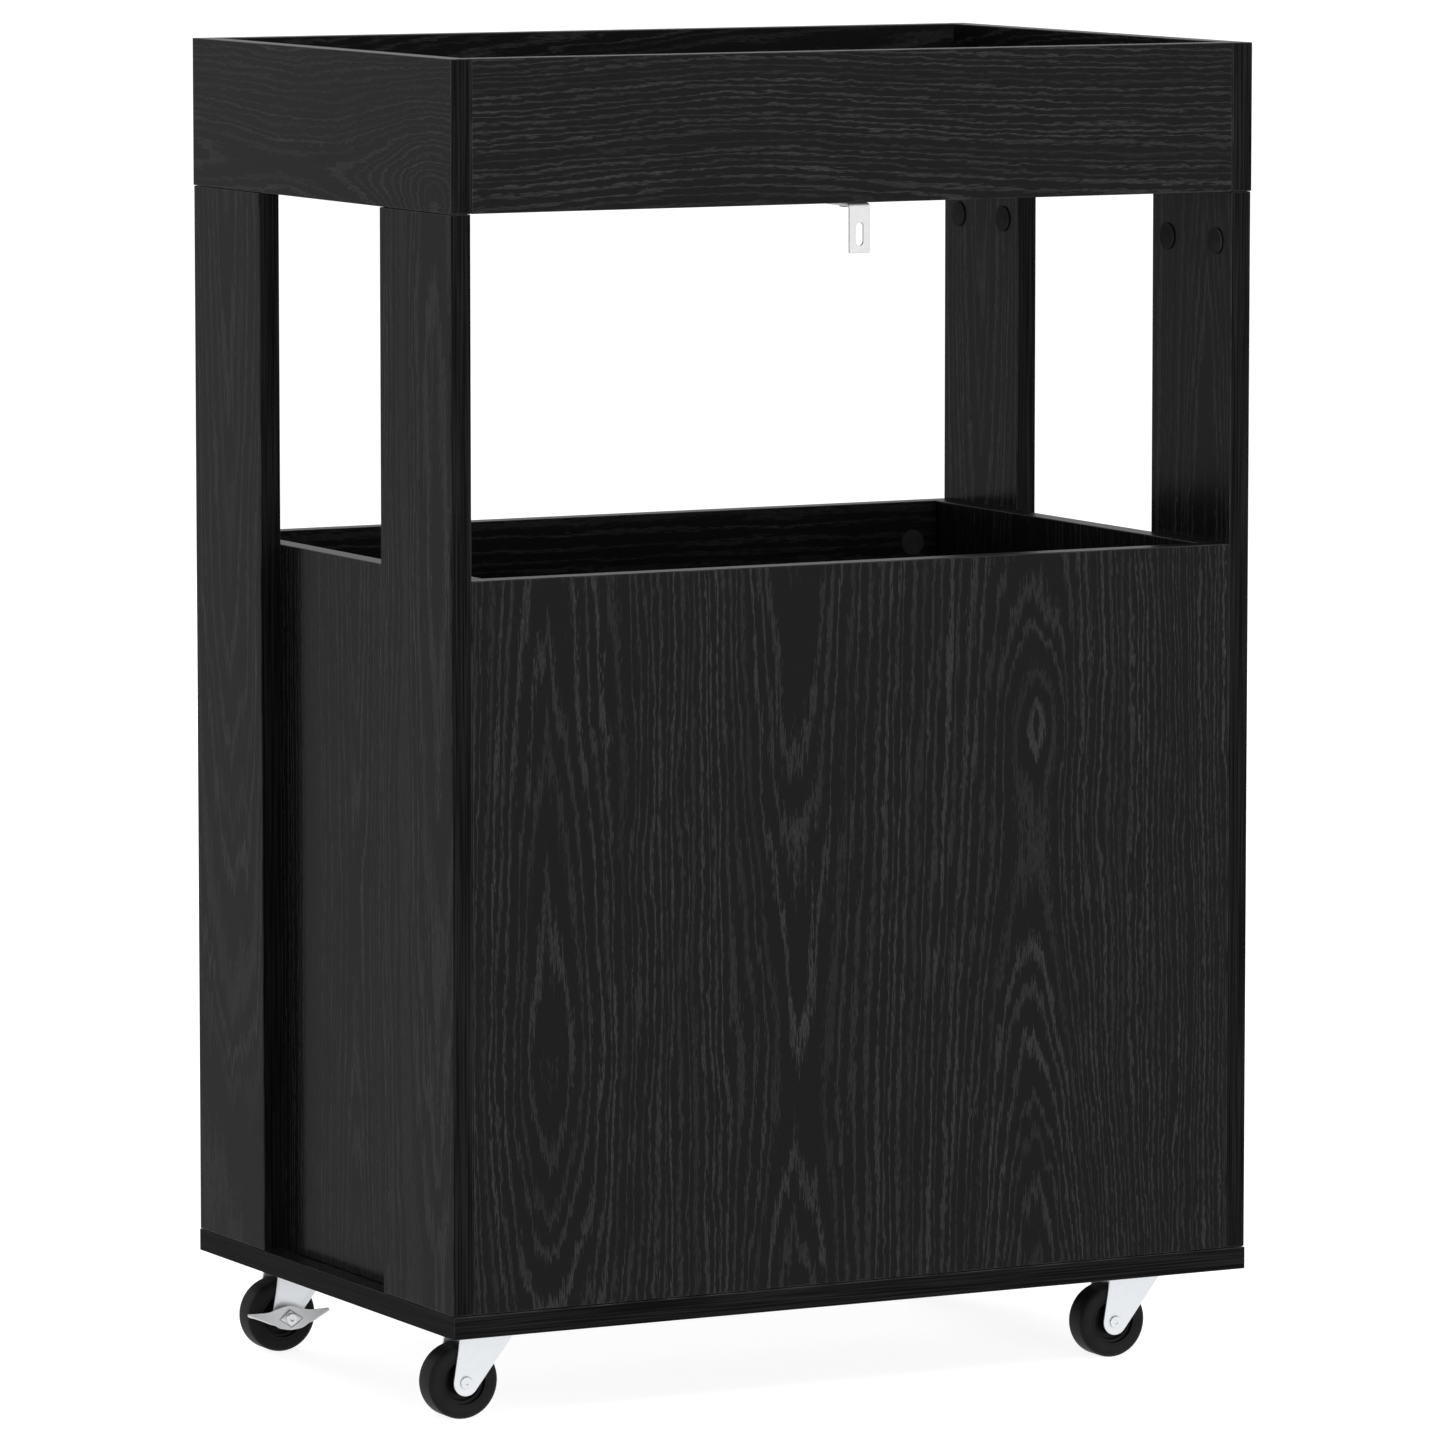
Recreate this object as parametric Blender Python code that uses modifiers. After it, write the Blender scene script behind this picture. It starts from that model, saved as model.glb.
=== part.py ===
"""Bar cart of black oak laminate boards: a tray on four posts above an open-topped bin, on casters.

Metres, +Z up. The origin lies on the floor under the middle of the cart. The open front of the lower
compartment faces -Y. The closed back, with the wall bracket under the tray, faces +Y. Left and right
are those of a person who stands at the front.
"""

import math

import bmesh
import bpy
from mathutils import Matrix, Vector

# Boards
cart_width = 0.600
cart_depth = 0.400
body_height = 0.835
board = 0.015
tray_height = 0.100
post_width = 0.105
post_setback = 0.0012
bin_wall_height = 0.482
front_rail_height = 0.100
edge_radius = 0.0006

# Gaps
seam = 0.0003
running_gap = 0.0003
rivet_gap = 0.0002
cut_overrun = 0.002
weld_distance = 0.00001

# Cam fittings: a blind bore for the cam and the cap that covers it
cam_radius = 0.0075
cam_depth = 0.0125
cam_from_end = 0.034
cam_pitch = 0.064
rail_cam_below_top = 0.029
cap_radius = 0.009
cap_flange = 0.001
cap_stem_length = 0.005
cap_rounding = 0.0004

# Wall bracket and its screw
bracket_width = 0.0155
bracket_leg = 0.033
bracket_thickness = 0.002
bracket_bend_radius = 0.0039
slot_width = 0.0054
slot_length = 0.0153
slot_from_corner = 0.0127
screw_radius = 0.002
screw_length = 0.012
screw_head_radius = 0.0045
screw_head_height = 0.0022

# Casters
wheel_diameter = 0.050
wheel_width = 0.021
tread_rounding = 0.004
trail = 0.022
swivel_inset_x = 0.0532
swivel_inset_y = 0.0584
wheel_side_gap = 0.0007
wheel_top_gap = 0.0059
tyre_inner_radius = 0.0152
hub_rim_wall = 0.0022
hub_rim_half_width = 0.0072
hub_web_half_width = 0.0025
hub_boss_radius = 0.0055
axle_radius = 0.003
axle_head_radius = 0.0045
axle_head_height = 0.0015
leg_thickness = 0.0015
leg_end_radius = 0.009
leg_outer_lean = 0.0043
leg_root_share = 0.9
head_thickness = 0.0018
head_radius = 0.019
head_overhang = 0.0081
race_radius = 0.0145
race_height = 0.0024
kingpin_radius = 0.004
kingpin_head_radius = 0.0065
kingpin_head_height = 0.0022
plate_length = 0.060
plate_width = 0.046
plate_thickness = 0.002
plate_corner_radius = 0.006
plate_hole_radius = 0.0026
plate_hole_from_edge = 0.0068

# Brake pedals of the two front casters: a wing on each side of the axle
pedal_half_length = 0.0305
pedal_depth = 0.0165
pedal_tip_depth = 0.0022
pedal_thickness = 0.0014
pedal_tip_above_axle = 0.004
pedal_middle_rise = 0.0038
pedal_rise_half_length = 0.018
pedal_standoff = 0.011
pedal_boss_radius = 0.006
pedal_pad_radius = 0.008
pedal_middle_tilt = math.radians(20)
pedal_tip_tilt = math.radians(72)
pedal_taper_power = 1.6

# Facets
wheel_steps = 32
bearing_steps = 24
small_round_steps = 16
corner_steps = 3

# Levels and faces that the sizes above give
caster_height = (wheel_diameter + wheel_top_gap + head_thickness + running_gap + race_height
                 + running_gap + plate_thickness + seam)
base_top = caster_height + board
rim = caster_height + body_height
tray_bottom = rim - tray_height
post_bottom = base_top + seam
post_top = tray_bottom - seam
bin_top = base_top + bin_wall_height
front_rail_bottom = bin_top - front_rail_height
outer_x = cart_width / 2
inner_x = outer_x - board
outer_y = cart_depth / 2
face_y = outer_y - post_setback
wheel_radius = wheel_diameter / 2
leg_inner_y = wheel_width / 2 + wheel_side_gap
leg_outer_y = leg_inner_y + leg_thickness
head_bottom = wheel_diameter + wheel_top_gap
head_top = head_bottom + head_thickness
race_bottom = head_top + running_gap
plate_bottom = race_bottom + race_height + running_gap
pedal_inner_y = leg_outer_y + seam
pedal_outer_y = pedal_inner_y + pedal_standoff
pedal_sheet_y = pedal_outer_y - pedal_thickness - axle_head_radius * math.tan(pedal_middle_tilt)

sides = {"left": -1, "right": 1}
ends = {"front": -1, "back": 1}


def new_material(name, color, roughness, metallic):
    """A plain Principled material."""
    material = bpy.data.materials.new(name)
    material.use_nodes = True
    shader = material.node_tree.nodes["Principled BSDF"]
    shader.inputs["Base Color"].default_value = (*color, 1)
    shader.inputs["Roughness"].default_value = roughness
    shader.inputs["Metallic"].default_value = metallic
    return material


def add_object(name, mesh, material, collection, place=(0, 0, 0), turn=(0, 0, 0), parent=None):
    """Links a mesh as a named object, at a place and turn that its parent, if any, carries."""
    thing = bpy.data.objects.new(name, mesh)
    collection.objects.link(thing)
    thing.location = place
    thing.rotation_euler = turn
    thing.parent = parent
    if material and not mesh.materials:
        mesh.materials.append(material)
    return thing


def add_cutter(name, mesh, place=(0, 0, 0), turn=(0, 0, 0)):
    """An object that only cuts or joins others."""
    cutter = add_object(name, mesh, None, cutters, place, turn)
    cutter.hide_render = True
    cutter.display_type = 'WIRE'
    return cutter


def combine(target, tool, operation):
    """Cuts or joins a target with a tool object, by an exact Boolean."""
    boolean = target.modifiers.new(tool.name, 'BOOLEAN')
    boolean.operation = operation
    boolean.solver = 'EXACT'
    boolean.object = tool


def finished_mesh(thing, name):
    """The mesh that an object's modifiers give, shaded smooth, while the object itself is removed."""
    bpy.context.view_layer.update()
    evaluated = thing.evaluated_get(bpy.context.evaluated_depsgraph_get())
    mesh = bpy.data.meshes.new_from_object(evaluated)
    mesh.transform(thing.matrix_world)
    mesh.name = name
    shape = bmesh.new()
    shape.from_mesh(mesh)
    bmesh.ops.remove_doubles(shape, verts=shape.verts, dist=weld_distance)
    bmesh.ops.recalc_face_normals(shape, faces=shape.faces)
    shape.to_mesh(mesh)
    shape.free()
    mesh.materials.clear()
    mesh.shade_smooth()
    mesh.set_sharp_from_angle(angle=math.radians(35))
    bpy.data.objects.remove(thing)
    return mesh


def rod_mesh(name, places, radius, length, steps=small_round_steps):
    """Upright cylinders, centred on the given places, in one mesh."""
    shape = bmesh.new()
    for place in places:
        bmesh.ops.create_cone(shape, cap_ends=True, segments=steps, radius1=radius, radius2=radius,
                              depth=length, matrix=Matrix.Translation(place))
    mesh = bpy.data.meshes.new(name)
    shape.to_mesh(mesh)
    shape.free()
    return mesh


def turned_mesh(name, profile, closed=False, steps=small_round_steps):
    """A profile of (radius, height) points turned round Z, with its outer side run top to bottom."""
    mesh = bpy.data.meshes.new(name)
    links = [(i, i + 1) for i in range(len(profile) - 1)]
    if closed:
        links.append((len(profile) - 1, 0))
    mesh.from_pydata([(radius, 0, height) for radius, height in profile], links, [])
    guide = add_object(name, mesh, None, cutters)
    screw = guide.modifiers.new("turn", 'SCREW')
    screw.steps = steps
    screw.render_steps = steps
    screw.use_merge_vertices = True
    screw.merge_threshold = weld_distance
    return finished_mesh(guide, name)


def flat_mesh(name, outline, thickness):
    """A closed outline in XY, given a thickness along Z about its plane."""
    curve = bpy.data.curves.new(name, 'CURVE')
    curve.dimensions = '2D'
    curve.fill_mode = 'BOTH'
    curve.extrude = thickness / 2
    spline = curve.splines.new('POLY')
    spline.points.add(len(outline) - 1)
    for point, (x, y) in zip(spline.points, outline):
        point.co = (x, y, 0, 1)
    spline.use_cyclic_u = True
    guide = bpy.data.objects.new(name, curve)
    cutters.objects.link(guide)
    return finished_mesh(guide, name)


def arc(centre, radius, start, stop, steps=corner_steps):
    """Points on a circular arc, both ends included."""
    angles = [start + (stop - start) * i / steps for i in range(steps + 1)]
    return [(centre[0] + radius * math.cos(a), centre[1] + radius * math.sin(a)) for a in angles]


def tangent_angle(centre, radius, point, way):
    """Where a line from a point touches a circle, as an angle at its centre, on the side of way."""
    x = point[0] - centre[0]
    y = point[1] - centre[1]
    return math.atan2(y, x) + way * math.acos(radius / math.hypot(x, y))


def stadium(length, width):
    """Outline of a slot along Y with round ends."""
    reach = (length - width) / 2
    return (arc((0, reach), width / 2, 0, math.pi, 2 * corner_steps)
            + arc((0, -reach), width / 2, math.pi, 2 * math.pi, 2 * corner_steps))


def rounded_rectangle(length, width, radius):
    """Outline of a rectangle along X with round corners."""
    x = length / 2 - radius
    y = width / 2 - radius
    corners = ((x, y), (-x, y), (-x, -y), (x, -y))
    outline = []
    for i, centre in enumerate(corners):
        outline += arc(centre, radius, i * math.pi / 2, (i + 1) * math.pi / 2)
    return outline


def turn_towards(direction):
    """The turn that points an upright piece in a direction."""
    return Vector(direction).to_track_quat('Z', 'Y').to_euler()


def add_board(name, x_faces, y_faces, z_faces):
    """A laminate board between pairs of faces, with its edge banding slightly rounded."""
    low = Vector(min(faces) for faces in (x_faces, y_faces, z_faces))
    high = Vector(max(faces) for faces in (x_faces, y_faces, z_faces))
    shape = bmesh.new()
    bmesh.ops.create_cube(shape, size=1, matrix=Matrix.Diagonal(high - low).to_4x4())
    mesh = bpy.data.meshes.new(name)
    shape.to_mesh(mesh)
    shape.free()
    thing = add_object(name, mesh, oak, cart, (low + high) / 2)
    bevel = thing.modifiers.new("edge banding", 'BEVEL')
    bevel.width = edge_radius
    bevel.segments = 2
    return thing


def drill(target, name, mouth, direction, radius, depth):
    """A blind hole in a board, from its mouth in a direction."""
    direction = Vector(direction)
    mesh = rod_mesh(name, [(0, 0, (depth - cut_overrun) / 2)], radius, depth + cut_overrun)
    combine(target, add_cutter(name, mesh, mouth, turn_towards(direction)), 'DIFFERENCE')


def add_cam(target, name, mouth, outward):
    """A cam's bore in a board, and the cap that covers it."""
    drill(target, name + "_bore", mouth, -Vector(outward), cam_radius, cam_depth)
    place = Vector(mouth) + Vector(outward) * seam
    add_object(name, cap_mesh, plastic, cart, place, turn_towards(outward))


def cap_profile():
    """A cam cap: a flange with a rounded edge on a shorter stem, its seat at height zero."""
    crown = cap_radius - cap_rounding
    stem_radius = cam_radius - running_gap
    outline = [(0, cap_flange)]
    outline += arc((crown, cap_flange - cap_rounding), cap_rounding, math.pi / 2, 0, 2)
    outline += [(cap_radius, 0), (stem_radius, 0), (stem_radius, -cap_stem_length), (0, -cap_stem_length)]
    return outline


def add_carcass():
    """The boards that stand on the casters: base, posts and the bin between them."""
    add_board("base_board", (-outer_x, outer_x), (-outer_y, outer_y), (caster_height, base_top))
    for end, y_sign in ends.items():
        for side, x_sign in sides.items():
            name = f"post_{end}_{side}"
            post = add_board(name, (x_sign * inner_x, x_sign * outer_x),
                             (y_sign * (face_y - post_width), y_sign * face_y), (post_bottom, post_top))
            middle_y = y_sign * (face_y - post_width / 2)
            for number, step in ((1, -1), (2, 1)):
                mouth = (x_sign * inner_x, middle_y + step * cam_pitch / 2, post_top - cam_from_end)
                add_cam(post, f"cam_cap_{end}_{side}_{number}", mouth, (-x_sign, 0, 0))

    panel_x = inner_x - seam
    wall_y = face_y - board - seam
    add_board("back_panel", (-panel_x, panel_x), (face_y - board, face_y), (post_bottom, bin_top))
    for side, x_sign in sides.items():
        add_board(f"side_panel_{side}", (x_sign * (panel_x - board), x_sign * panel_x),
                  (-wall_y, wall_y), (post_bottom, bin_top))
    shelf_x = panel_x - board - seam
    add_board("bin_floor", (-shelf_x, shelf_x), (-wall_y, wall_y),
              (front_rail_bottom, front_rail_bottom + board))
    rail = add_board("front_rail", (-panel_x, panel_x), (-face_y, -(face_y - board)),
                     (front_rail_bottom, bin_top))
    for side, x_sign in sides.items():
        mouth = (x_sign * (panel_x - cam_from_end), -(face_y - board), bin_top - rail_cam_below_top)
        add_cam(rail, f"cam_cap_front_rail_{side}", mouth, (0, 1, 0))


def add_tray():
    """The tray on top: two long rails between two sides, and a floor inside them."""
    rail_x = inner_x - seam
    for side, x_sign in sides.items():
        add_board(f"tray_side_{side}", (x_sign * inner_x, x_sign * outer_x), (-outer_y, outer_y),
                  (tray_bottom, rim))
    for end, y_sign in ends.items():
        add_board(f"tray_rail_{end}", (-rail_x, rail_x), (y_sign * (outer_y - board), y_sign * outer_y),
                  (tray_bottom, rim))
    floor_y = outer_y - board - seam
    return add_board("tray_floor", (-rail_x, rail_x), (-floor_y, floor_y), (tray_bottom, tray_bottom + board))


def add_bracket(tray_floor):
    """The slotted steel angle under the tray's back rail, and the screw that holds it."""
    top = tray_bottom - seam
    corner = (outer_y - bracket_bend_radius, top - bracket_bend_radius)
    inner_radius = bracket_bend_radius - bracket_thickness
    outline = [(outer_y - bracket_leg, top - bracket_thickness)]
    outline += arc(corner, inner_radius, math.pi / 2, 0)
    outline += [(outer_y - bracket_thickness, top - bracket_leg), (outer_y, top - bracket_leg)]
    outline += arc(corner, bracket_bend_radius, 0, math.pi / 2)
    outline += [(outer_y - bracket_leg, top)]
    depth_height_width = Matrix(((0, 0, 1), (1, 0, 0), (0, 1, 0))).to_euler()
    mesh = flat_mesh("bracket_blank", outline, bracket_width)
    bracket = add_object("bracket_blank", mesh, None, cutters, turn=depth_height_width)

    slot_middle = slot_from_corner + slot_length / 2
    slot = flat_mesh("bracket_slot", stadium(slot_length, slot_width), 2 * bracket_thickness + cut_overrun)
    hanging = add_cutter("bracket_wall_slot", slot, (0, outer_y, top - slot_middle), (math.pi / 2, 0, 0))
    lying = add_cutter("bracket_tray_slot", slot, (0, outer_y - slot_middle, top))
    combine(bracket, hanging, 'DIFFERENCE')
    combine(bracket, lying, 'DIFFERENCE')
    add_object("wall_bracket", finished_mesh(bracket, "wall_bracket"), zinc, cart)

    head_top_z = top - bracket_thickness - seam
    profile = [(0, screw_length), (screw_radius, screw_length), (screw_radius, 0), (screw_head_radius, 0),
               (screw_head_radius, -screw_head_height / 2), (screw_head_radius / 2, -screw_head_height),
               (0, -screw_head_height)]
    mesh = turned_mesh("bracket_screw", profile)
    add_object("bracket_screw", mesh, zinc, cart, (0, outer_y - slot_middle, head_top_z))
    drill(tray_floor, "bracket_screw_hole", (0, outer_y - slot_middle, tray_bottom), (0, 0, 1),
          screw_radius + running_gap, screw_length)


def tyre_profile():
    """Section of the tyre: a flat tread with round shoulders, and a straight bore."""
    half = wheel_width / 2
    shoulder = wheel_radius - tread_rounding
    outline = arc((shoulder, half - tread_rounding), tread_rounding, math.pi / 2, 0)
    outline += arc((shoulder, tread_rounding - half), tread_rounding, 0, -math.pi / 2)
    outline += [(tyre_inner_radius, -half), (tyre_inner_radius, half)]
    return outline


def hub_profile():
    """Section of the hub: a rim, a thin web and a boss with the axle's bore."""
    rim_outer = tyre_inner_radius - seam
    rim_inner = rim_outer - hub_rim_wall
    boss_half = leg_inner_y - running_gap
    bore = axle_radius + running_gap
    upper = [(bore, boss_half), (hub_boss_radius, boss_half), (hub_boss_radius, hub_web_half_width),
             (rim_inner, hub_web_half_width), (rim_inner, hub_rim_half_width), (rim_outer, hub_rim_half_width)]
    return upper + [(radius, -height) for radius, height in reversed(upper)]


def axle_profile(reach):
    """An axle with a riveted head at each end, the upper one at a reach from the wheel's middle."""
    low = -(leg_outer_y + seam)
    return [(0, reach + axle_head_height), (axle_head_radius / 2, reach + axle_head_height),
            (axle_head_radius, reach + axle_head_height / 2), (axle_head_radius, reach),
            (axle_radius, reach), (axle_radius, low), (axle_head_radius, low),
            (axle_head_radius, low - axle_head_height / 2), (axle_head_radius / 2, low - axle_head_height),
            (0, low - axle_head_height)]


def kingpin_profile():
    """The rivet that the fork swivels on, from the plate's top down to its head under the fork."""
    top = plate_bottom + plate_thickness
    seat = head_bottom - running_gap
    return [(0, top), (kingpin_radius, top), (kingpin_radius, seat), (kingpin_head_radius, seat),
            (kingpin_head_radius, seat - kingpin_head_height / 2),
            (kingpin_head_radius / 2, seat - kingpin_head_height), (0, seat - kingpin_head_height)]


def race_profile():
    """The closed ball race between the plate and the fork's head."""
    bore = kingpin_radius + running_gap
    top = race_bottom + race_height
    bulge = race_height / 4
    return [(bore, top), (race_radius - bulge, top), (race_radius, top - bulge),
            (race_radius, race_bottom + bulge), (race_radius - bulge, race_bottom), (bore, race_bottom)]


def fork_mesh():
    """The stamped fork: a head plate with a leg down each side of the wheel."""
    tip = (trail + head_overhang, leg_outer_y)
    touch = tangent_angle((0, 0), head_radius, tip, 1)
    head = [(tip[0], -tip[1]), tip]
    head += arc((0, 0), head_radius, touch, 2 * math.pi - touch, 4 * corner_steps)
    mesh = flat_mesh("fork_head", head, head_thickness)
    fork = add_object("fork", mesh, None, cutters, (0, 0, (head_bottom + head_top) / 2))

    axle = (trail, wheel_radius)
    root_z = (head_bottom + head_top) / 2
    root_inner = (-leg_root_share * math.sqrt(head_radius ** 2 - leg_outer_y ** 2), root_z)
    root_outer = (trail + leg_outer_lean, root_z)
    start = tangent_angle(axle, leg_end_radius, root_inner, 1) - 2 * math.pi
    stop = tangent_angle(axle, leg_end_radius, root_outer, -1)
    leg = [root_outer, root_inner] + arc(axle, leg_end_radius, start, stop, 2 * corner_steps)
    mesh = flat_mesh("fork_leg", leg, leg_thickness)
    for sign in (-1, 1):
        place = (0, sign * (leg_inner_y + leg_thickness / 2), 0)
        combine(fork, add_cutter("fork_leg", mesh, place, (math.pi / 2, 0, 0)), 'UNION')

    pin_hole = rod_mesh("fork_pin_hole", [(0, 0, root_z)], kingpin_radius + running_gap,
                        head_thickness + cut_overrun)
    combine(fork, add_cutter("fork_pin_hole", pin_hole), 'DIFFERENCE')
    axle_hole = rod_mesh("fork_axle_hole", [(0, 0, 0)], axle_radius + rivet_gap,
                         2 * leg_outer_y + cut_overrun)
    hole = add_cutter("fork_axle_hole", axle_hole, (trail, 0, wheel_radius), (math.pi / 2, 0, 0))
    combine(fork, hole, 'DIFFERENCE')
    return finished_mesh(fork, "fork")


def plate_mesh():
    """The top plate, with a screw hole near each corner and the kingpin's hole in the middle."""
    outline = rounded_rectangle(plate_length, plate_width, plate_corner_radius)
    middle_z = plate_bottom + plate_thickness / 2
    plate = add_object("plate", flat_mesh("plate", outline, plate_thickness), None, cutters,
                       (0, 0, middle_z))
    x = plate_length / 2 - plate_hole_from_edge
    y = plate_width / 2 - plate_hole_from_edge
    places = [(sx * x, sy * y, middle_z) for sx in (-1, 1) for sy in (-1, 1)]
    length = plate_thickness + cut_overrun
    screws = rod_mesh("plate_screw_holes", places, plate_hole_radius, length)
    combine(plate, add_cutter("plate_screw_holes", screws), 'DIFFERENCE')
    middle = rod_mesh("plate_pin_hole", [(0, 0, middle_z)], kingpin_radius + rivet_gap, length)
    combine(plate, add_cutter("plate_pin_hole", middle), 'DIFFERENCE')
    return finished_mesh(plate, "plate")


def pedal_point(along, across):
    """A point of the pedal's sheet: along runs from -1 to 1 over the wings, across from 0 to 1 down it."""
    reach = abs(along)
    x = along * pedal_half_length
    depth = pedal_tip_depth + (pedal_depth - pedal_tip_depth) * (1 - reach ** pedal_taper_power)
    tilt = pedal_middle_tilt + (pedal_tip_tilt - pedal_middle_tilt) * reach
    near = min(1, abs(x) / pedal_rise_half_length)
    top = pedal_tip_above_axle + pedal_middle_rise * (1 + math.cos(math.pi * near)) / 2
    middle_top = pedal_tip_above_axle + pedal_middle_rise
    top_y = pedal_sheet_y - middle_top * math.tan(pedal_middle_tilt)
    return (x, top_y + across * depth * math.sin(tilt), top - across * depth * math.cos(tilt))


def pedal_mesh():
    """The brake pedal: a dished sheet with two wings and a diamond pad, on a boss that turns on the axle."""
    shape = bmesh.new()
    bmesh.ops.create_grid(shape, x_segments=16, y_segments=4, size=1)
    for vertex in shape.verts:
        vertex.co = pedal_point(vertex.co.x, (1 - vertex.co.y) / 2)
    mesh = bpy.data.meshes.new("pedal_sheet")
    shape.to_mesh(mesh)
    shape.free()
    pedal = add_object("pedal", mesh, None, cutters)
    solidify = pedal.modifiers.new("sheet", 'SOLIDIFY')
    solidify.thickness = pedal_thickness
    solidify.offset = 0

    along_y = (math.pi / 2, 0, 0)
    boss = rod_mesh("pedal_boss", [(0, 0, 0)], pedal_boss_radius, pedal_sheet_y - pedal_inner_y)
    boss_place = (0, (pedal_sheet_y + pedal_inner_y) / 2, 0)
    combine(pedal, add_cutter("pedal_boss", boss, boss_place, along_y), 'UNION')
    pad = rod_mesh("pedal_pad", [(0, 0, 0)], pedal_pad_radius, pedal_outer_y - pedal_sheet_y, steps=4)
    pad_place = (0, (pedal_outer_y + pedal_sheet_y) / 2, 0)
    combine(pedal, add_cutter("pedal_pad", pad, pad_place, along_y), 'UNION')
    bore = rod_mesh("pedal_bore", [(0, 0, 0)], axle_radius + running_gap, 2 * pedal_outer_y)
    combine(pedal, add_cutter("pedal_bore", bore, boss_place, along_y), 'DIFFERENCE')
    return finished_mesh(pedal, "pedal")


def add_casters():
    """Four swivel casters, all trailing towards the right, with a brake on the front two."""
    plate = plate_mesh()
    kingpin = turned_mesh("kingpin", kingpin_profile())
    race = turned_mesh("race", race_profile(), closed=True, steps=bearing_steps)
    fork = fork_mesh()
    tyre = turned_mesh("tyre", tyre_profile(), closed=True, steps=wheel_steps)
    hub = turned_mesh("hub", hub_profile(), closed=True, steps=bearing_steps)
    short_axle = turned_mesh("short_axle", axle_profile(leg_outer_y + seam))
    long_axle = turned_mesh("long_axle", axle_profile(pedal_outer_y + seam))
    pedal = pedal_mesh()
    along_y = (-math.pi / 2, 0, 0)
    axle_place = (trail, 0, wheel_radius)
    for end, y_sign in ends.items():
        for side, x_sign in sides.items():
            where = f"{end}_{side}"
            swivel = bpy.data.objects.new(f"swivel_axis_{where}", None)
            swivel.location = (x_sign * (outer_x - swivel_inset_x), y_sign * (outer_y - swivel_inset_y), 0)
            cart.objects.link(swivel)
            add_object(f"caster_plate_{where}", plate, zinc, cart, parent=swivel)
            add_object(f"caster_kingpin_{where}", kingpin, steel, cart, parent=swivel)
            add_object(f"caster_race_{where}", race, steel, cart, parent=swivel)
            add_object(f"caster_fork_{where}", fork, zinc, cart, parent=swivel)
            axle = long_axle if end == "front" else short_axle
            add_object(f"caster_axle_{where}", axle, steel, cart, axle_place, along_y, swivel)
            add_object(f"caster_hub_{where}", hub, plastic, cart, axle_place, along_y, swivel)
            add_object(f"caster_tyre_{where}", tyre, rubber, cart, axle_place, along_y, swivel)
            if end == "front":
                add_object(f"brake_pedal_{where}", pedal, zinc, cart, axle_place, parent=swivel)


for old in list(bpy.data.objects):
    bpy.data.objects.remove(old)

cart = bpy.data.collections.new("bar_cart")
cutters = bpy.data.collections.new("cutters")
bpy.context.scene.collection.children.link(cart)
bpy.context.scene.collection.children.link(cutters)

oak = new_material("black_oak", (0.012, 0.012, 0.013), 0.35, 0)
plastic = new_material("black_plastic", (0.015, 0.015, 0.016), 0.45, 0)
rubber = new_material("black_rubber", (0.018, 0.018, 0.019), 0.6, 0)
zinc = new_material("white_zinc", (0.82, 0.84, 0.86), 0.3, 0.9)
steel = new_material("bright_steel", (0.7, 0.71, 0.73), 0.3, 1)

cap_mesh = turned_mesh("cam_cap", cap_profile())
add_carcass()
add_bracket(add_tray())
add_casters()
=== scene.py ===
"""Looks of the bar cart: procedural finishes, detailed casters and fittings, studio and camera.

Metres and radians, except where a name says otherwise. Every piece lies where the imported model
has it. A profile is a list of (radius, height) points, which is turned round an axis.
"""

import math

import bmesh
import bpy
from mathutils import Matrix, Vector


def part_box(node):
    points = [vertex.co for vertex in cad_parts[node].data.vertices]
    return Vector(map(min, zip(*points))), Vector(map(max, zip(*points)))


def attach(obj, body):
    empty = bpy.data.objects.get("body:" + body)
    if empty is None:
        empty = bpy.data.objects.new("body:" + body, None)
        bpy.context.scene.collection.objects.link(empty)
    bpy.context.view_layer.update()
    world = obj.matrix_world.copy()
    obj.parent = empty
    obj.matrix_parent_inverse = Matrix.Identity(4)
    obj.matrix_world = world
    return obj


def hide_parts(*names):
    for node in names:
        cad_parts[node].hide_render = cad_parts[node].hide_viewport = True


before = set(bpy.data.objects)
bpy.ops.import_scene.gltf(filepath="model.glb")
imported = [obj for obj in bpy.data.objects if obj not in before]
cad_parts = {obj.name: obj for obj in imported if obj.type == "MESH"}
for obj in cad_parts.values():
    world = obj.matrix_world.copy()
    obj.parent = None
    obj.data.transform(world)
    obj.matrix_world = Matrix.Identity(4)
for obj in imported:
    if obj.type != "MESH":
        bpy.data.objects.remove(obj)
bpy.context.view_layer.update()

X, Y, Z = range(3)
upright = (0, 0, 0)
across_cart = (-math.pi / 2, 0, 0)
head_down = (math.pi, 0, 0)

# Camera, aimed from the cart's back right corner
camera_target = (-0.0025, 0, 0.4334)
camera_distance = 6.37
camera_from_back = math.radians(27.65)
camera_elevation = math.radians(6.41)
camera_lens_mm = 232.7
camera_clip_end = 100

# Floor, surround and soft boxes: each lamp's place, width, height and watts
floor_radius = 40
floor_segments = 96
floor_grey = 0.5
floor_glow = 0.85
surround_level = 0.5
lamps = {
    "back_low": ((-0.4, 5.2, 0.2), 3.2, 0.4, 165),
    "back": ((-0.4, 5.2, 0.95), 3.2, 0.7, 78),
    "front": ((0.4, -5.2, 0.9), 3.2, 1.6, 235),
    "high": ((-0.2, 3.3, 4.1), 2.4, 2.0, 95),
}

# How meshes are made
sharp_angle = math.radians(38)
merge_distance = 0.000002
bisect_tolerance = 0.0000005
corner_steps = 4
corner_share = 0.45
fold_steps = 8
fine_steps = 128
usual_steps = 96
small_steps = 64
boss_steps = 48
sheet_edge_radius = 0.0003
sheet_edge_steps = 2

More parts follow.
